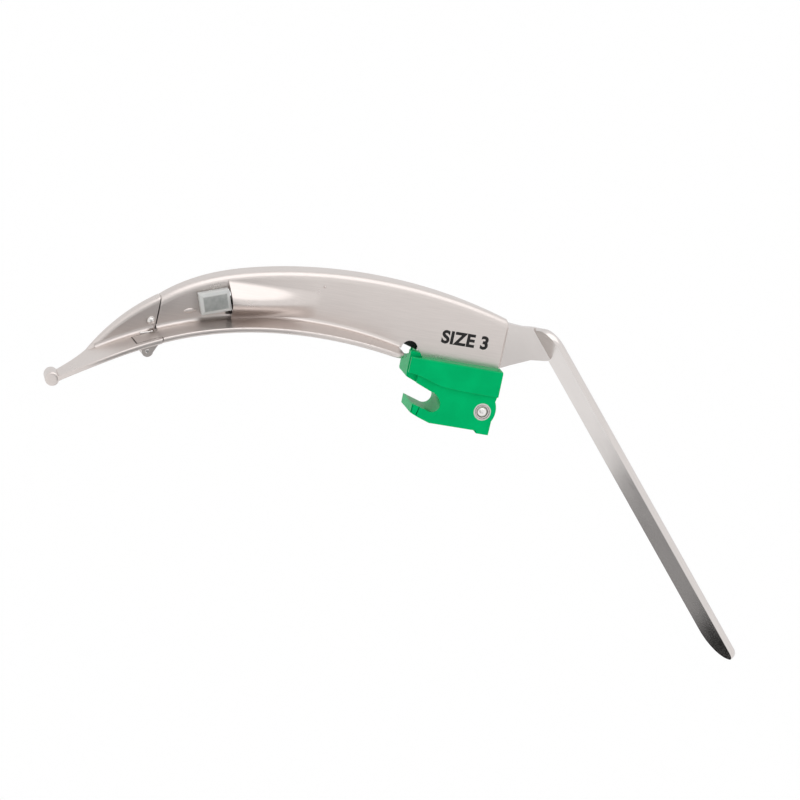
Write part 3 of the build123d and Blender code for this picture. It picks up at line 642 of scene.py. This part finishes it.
# %% Black strip of painted shade behind the joint
SHADE_STRIP_MIDDLE = Vector((-84.65, -0.72, 12.1)) * MM
SHADE_STRIP_SIZE = (1.3 * MM, 0.2 * MM, 9.0 * MM)
bpy.ops.object.select_all(action="DESELECT")
bpy.ops.mesh.primitive_cube_add(size=1.0, location=SHADE_STRIP_MIDDLE)
shade_strip = bpy.context.object
shade_strip.scale = SHADE_STRIP_SIZE
settle(shade_strip)
modify(shade_strip, "BEVEL", width=0.06 * MM, segments=2, limit_method="ANGLE")
smooth(shade_strip, 40.0)
# The strip's black is painted shade for the depth of the cut.
dress(shade_strip, "seam_painted_shade_strip", mark_and_shade_black, "blade")

# %% [markdown]
# ## Size mark
#
# The size is marked on the web beside the lever, laser annealed and quite black. It is a text curve,
# made bolder by its offset and bevel, turned to a mesh and let into the face of the web.

# %% Size mark
bpy.ops.object.select_all(action="DESELECT")
bpy.ops.object.text_add(rotation=(math.radians(90), 0.0, 0.0))
mark = bpy.context.object
mark.data.body = "SIZE 3"
mark.data.size = 5.2 * MM
mark.data.extrude = 0.03 * MM
mark.data.offset = 0.1 * MM
mark.data.bevel_depth = 0.13 * MM
mark.data.bevel_resolution = 1
mark.data.align_x = "CENTER"
mark.data.align_y = "CENTER"
mark.location = Vector((6.7, -2.42, 19.3)) * MM
mark.data.space_character = 1.04
bpy.ops.object.convert(target="MESH")
settle(mark)
dress(mark, "web_size_mark", mark_and_shade_black, "blade")

# %% [markdown]
# ## The return spring
#
# A torsion spring round the pivot pulls the lever back. A wire's section is a small circle; the screw
# modifier winds it round the pivot's axis, and a straight leg reaches the peg on the web.

# %% Return spring
PIVOT = Vector((11.0, 0.0, 22.6)) * MM
WIRE = 0.38 * MM
COIL_RADIUS, COIL_START, COIL_PITCH, COIL_TURNS = 2.4 * MM, 0.62 * MM, 0.92 * MM, 3
LEG_LENGTH = 5.6 * MM
LEG_MIDDLE = Vector((8.4, 0.62, 25.0)) * MM
bpy.ops.object.select_all(action="DESELECT")
bpy.ops.mesh.primitive_circle_add(vertices=12, radius=WIRE, location=(COIL_RADIUS, COIL_START, 0.0))
coil = bpy.context.object
settle(coil)
modify(
    coil, "SCREW", axis="Y", angle=math.tau, screw_offset=COIL_PITCH, iterations=COIL_TURNS, steps=32,
    render_steps=32, use_merge_vertices=False,
)
pick(coil)
bpy.ops.object.mode_set(mode="EDIT")
bpy.ops.mesh.select_mode(type="EDGE")
bpy.ops.mesh.select_all(action="DESELECT")
bpy.ops.mesh.select_non_manifold()
bpy.ops.mesh.fill_holes(sides=0)
bpy.ops.mesh.select_all(action="SELECT")
bpy.ops.transform.translate(value=PIVOT)
bpy.ops.mesh.normals_make_consistent(inside=False)
bpy.ops.object.mode_set(mode="OBJECT")
bpy.ops.object.select_all(action="DESELECT")
bpy.ops.mesh.primitive_cylinder_add(
    vertices=12, radius=WIRE, depth=LEG_LENGTH, location=LEG_MIDDLE, rotation=(0.0, math.radians(90), 0.0),
)
leg = bpy.context.object
modify(leg, "BEVEL", width=0.12 * MM, segments=2, limit_method="ANGLE")
pick(coil)
leg.select_set(True)
bpy.ops.object.join()
settle(coil)
smooth(coil, 50.0)
dress(coil, "return_spring_coil", spring_steel, "blade", ["return_spring"])

# %% [markdown]
# ## The detent bush
#
# The two sprung balls sit in a steel bush through the block. Its end faces show a bright lip, a turned
# groove and an inner ring round the ball. Each end of a cylinder is inset ring by ring, with a step
# down into the groove and up again, and the middle is then sunk to make room for the ball.

# %% Detent bush
BUSH_MIDDLE = Vector((15.2, 0.0, 0.05)) * MM
BUSH_RADIUS, BUSH_LENGTH, BALL_ROOM = 2.55 * MM, 12.6 * MM, 2.0 * MM
BUSH_RINGS = ((0.38, 0.0), (0.04, -0.6), (0.18, 0.0), (0.04, 0.5), (0.24, 0.0))    # width and step up
bpy.ops.object.select_all(action="DESELECT")
bpy.ops.mesh.primitive_cylinder_add(
    vertices=72, radius=BUSH_RADIUS, depth=BUSH_LENGTH, location=BUSH_MIDDLE,
    rotation=(math.radians(90), 0.0, 0.0),
)
bush = bpy.context.object
settle(bush)
for side in (-1, 1):
    select_faces(bush, lambda centre, normal: side * normal.y > 0.9)
    for ring_width, step_up in BUSH_RINGS:
        bpy.ops.mesh.inset(thickness=ring_width * MM, depth=step_up * MM)
    bpy.ops.mesh.extrude_region_move(TRANSFORM_OT_translate={"value": (0.0, -side * BALL_ROOM, 0.0)})
bpy.ops.object.mode_set(mode="OBJECT")
modify(bush, "BEVEL", width=0.04 * MM, segments=2, limit_method="ANGLE", angle_limit=math.radians(35))
smooth(bush, 35.0)
dress(bush, "detent_bush", polished_steel, "blade", ["detent_sleeve"])

# %% [markdown]
# ## The green block
#
# The block has a core and two side cheeks. Moulded edges have larger radii than cut ones, so they are
# eased by about 0.3 mm. Two fine slits in the hook's arm and a notch in the foot are cut with thin
# boxes.

# %% Block
CUTS = (    # middle, size and turn in degrees of the two slits and the notch
    ((-3.75, -6.3, -2.7), (0.3, 1.6, 2.6), 14.0),
    ((-5.6, -6.3, -2.6), (0.22, 0.8, 2.6), 0.0),
    ((14.2, -6.3, -6.0), (0.9, 1.6, 0.7), 0.0),
)
core = eased("block_core", 0.28 * MM, 3)
for centre, size, turn in CUTS:
    bpy.ops.object.select_all(action="DESELECT")
    bpy.ops.mesh.primitive_cube_add(
        size=1.0, location=Vector(centre) * MM, rotation=(0.0, math.radians(turn), 0.0)
    )
    cutter = bpy.context.object
    cutter.scale = Vector(size) * MM
    settle(cutter)
    modify(core, "BOOLEAN", operation="DIFFERENCE", object=cutter, solver="EXACT")
    bpy.data.objects.remove(cutter)
smooth(core, 40.0)
modify(core, "WEIGHTED_NORMAL", keep_sharp=True, weight=80)
dress(core, "block_moulded_core", green_nylon, "blade", ["block_core"])
for cheek_node, cheek_name in (
    ("block_saddle_near", "block_cheek_near"), ("block_saddle_far", "block_cheek_far"),
):
    cheek = eased(cheek_node, 0.3 * MM, 3)
    dress(cheek, cheek_name, green_nylon, "blade", [cheek_node])

# %% [markdown]
# ## The remaining CAD pieces
#
# Pins, guides and rod have their CAD shape eased. The balls, the detent spring, the sheath and the
# inlet's fibres keep theirs. All get the steel, rubber or glass that they are made of.

# %% Pins, rod and guides
for node_name, body, width in (    # width of the eased edge in millimetres
    ("tip_hinge_pin", "tip", 0.22), ("tip_drive_pin", "tip", 0.3), ("push_rod", "rod", 0.12),
    ("rod_guide_front", "blade", 0.15), ("rod_guide_rear", "blade", 0.15), ("lever_crank", "lever", 0.18),
    ("crank_pin", "lever", 0.12), ("lever_pivot_stud", "blade", 0.12), ("pivot_washer", "blade", 0.08),
    ("pivot_screw", "blade", 0.15), ("spring_peg", "blade", 0.1), ("lever_stop_pin", "blade", 0.15),
    ("block_screw_front", "blade", 0.12), ("block_screw_rear", "blade", 0.12),
    ("inlet_ferrule", "blade", 0.1),
):
    piece = eased(node_name, width * MM)
    dress(piece, node_name + "_eased", polished_steel, body, [node_name])

for node_name, material in (
    ("detent_ball_near", ball_steel), ("detent_ball_far", ball_steel), ("detent_spring", spring_steel),
    ("fibre_bundle", black_sheath), ("inlet_fibre", fibre_end),
):
    node = nodes[node_name]
    node.data.materials.clear()
    node.data.materials.append(material)
print("materials given to the CAD pieces that stay")

# %% [markdown]
# ## Studio
#
# A wide white sheet of paper below the object and an even white sky give a clean ground. The white in
# every direction makes shadows disappear.

# %% Floor and sky
FLOOR_SIZE, FLOOR_HEIGHT = 60.0, -0.6
scene = bpy.context.scene
scene.view_settings.view_transform = "Standard"
world = bpy.data.worlds.new("white_studio")
scene.world = world
world.use_nodes = True
world.node_tree.nodes["Background"].inputs["Color"].default_value = grey(1.0)
world.node_tree.nodes["Background"].inputs["Strength"].default_value = 1.0

bpy.ops.object.select_all(action="DESELECT")
bpy.ops.mesh.primitive_plane_add(size=FLOOR_SIZE, location=(0.0, 0.0, FLOOR_HEIGHT))
floor = bpy.context.object
floor.name = "floor"
paper, _, paper_shader = new_material("white_paper", Roughness=0.9)
paper_shader.inputs["Base Color"].default_value = hex_colour("#FFFFFF")
floor.data.materials.append(paper)
print("paper", FLOOR_SIZE, "m wide,", -FLOOR_HEIGHT, "m below the hook slot")

# %% [markdown]
# ## Reflection cards
#
# Steel looks like what it mirrors, and in an all-white room it would vanish. So flat cards stand where
# the steel mirrors them, as in a studio. Grey cards in front shade the tip and the web, a pale one
# behind tones the flange, a brighter one overhead lights the folds, and a grey and a black one below
# darken the lever towards its end. Only reflections see the cards.


# %% Reflection cards
def card(name, corners, brightness):
    """A flat card that only reflections see, given by its four corners in millimetres."""
    bpy.ops.object.select_all(action="DESELECT")
    bpy.ops.mesh.primitive_plane_add(size=1.0)
    plane = bpy.context.object
    plane.name = name
    for vertex, corner in zip(plane.data.vertices, corners):
        vertex.co = Vector(corner) * MM
    for flag in ("visible_camera", "visible_diffuse", "visible_transmission", "visible_shadow"):
        setattr(plane, flag, False)
    surface = bpy.data.materials.new(name)
    surface.use_nodes = True
    tree = surface.node_tree
    tree.nodes.remove(tree.nodes["Principled BSDF"])
    light = add_node(tree, "ShaderNodeEmission", inputs={"Color": grey(brightness), "Strength": 1.0})
    tree.links.new(light.outputs["Emission"], tree.nodes["Material Output"].inputs["Surface"])
    plane.data.materials.append(surface)
    print(name, "has brightness", brightness)


def lever_mirror(station, across):
    """The point 160 mm below the origin that the lever's inner face mirrors, at a station along it."""
    return (-42.5 + 0.944 * station + 0.705 * across, 230.0 - 0.939 * station + 0.709 * across, -160.0)


card("grey_card_tip", [(-105, -80, -17), (-28, -80, -60), (-105, -80, 4), (-40, -80, 10)], 0.32)
card("pale_card_above_tip", [(-150, -80, 16), (-44, -80, 16), (-150, -80, 60), (-44, -80, 60)], 0.6)
card("pale_card_web", [(-28, -80, -60), (60, -80, -60), (-40, -80, 8), (60, -80, 2)], 0.8)
card("grey_card_back", [(-700, 600, -200), (900, 600, -200), (-700, 500, 500), (900, 500, 500)], 0.88)
card("soft_box_above", [(-330, -270, 420), (290, -270, 420), (-330, 150, 480), (290, 150, 480)], 1.6)
for name, near, far, brightness in (("black_card_lever", 104, 160, 0.02), ("grey_card_lever", 50, 104, 0.34)):
    card(name, [lever_mirror(station, across) for across in (-80, 80) for station in (near, far)], brightness)
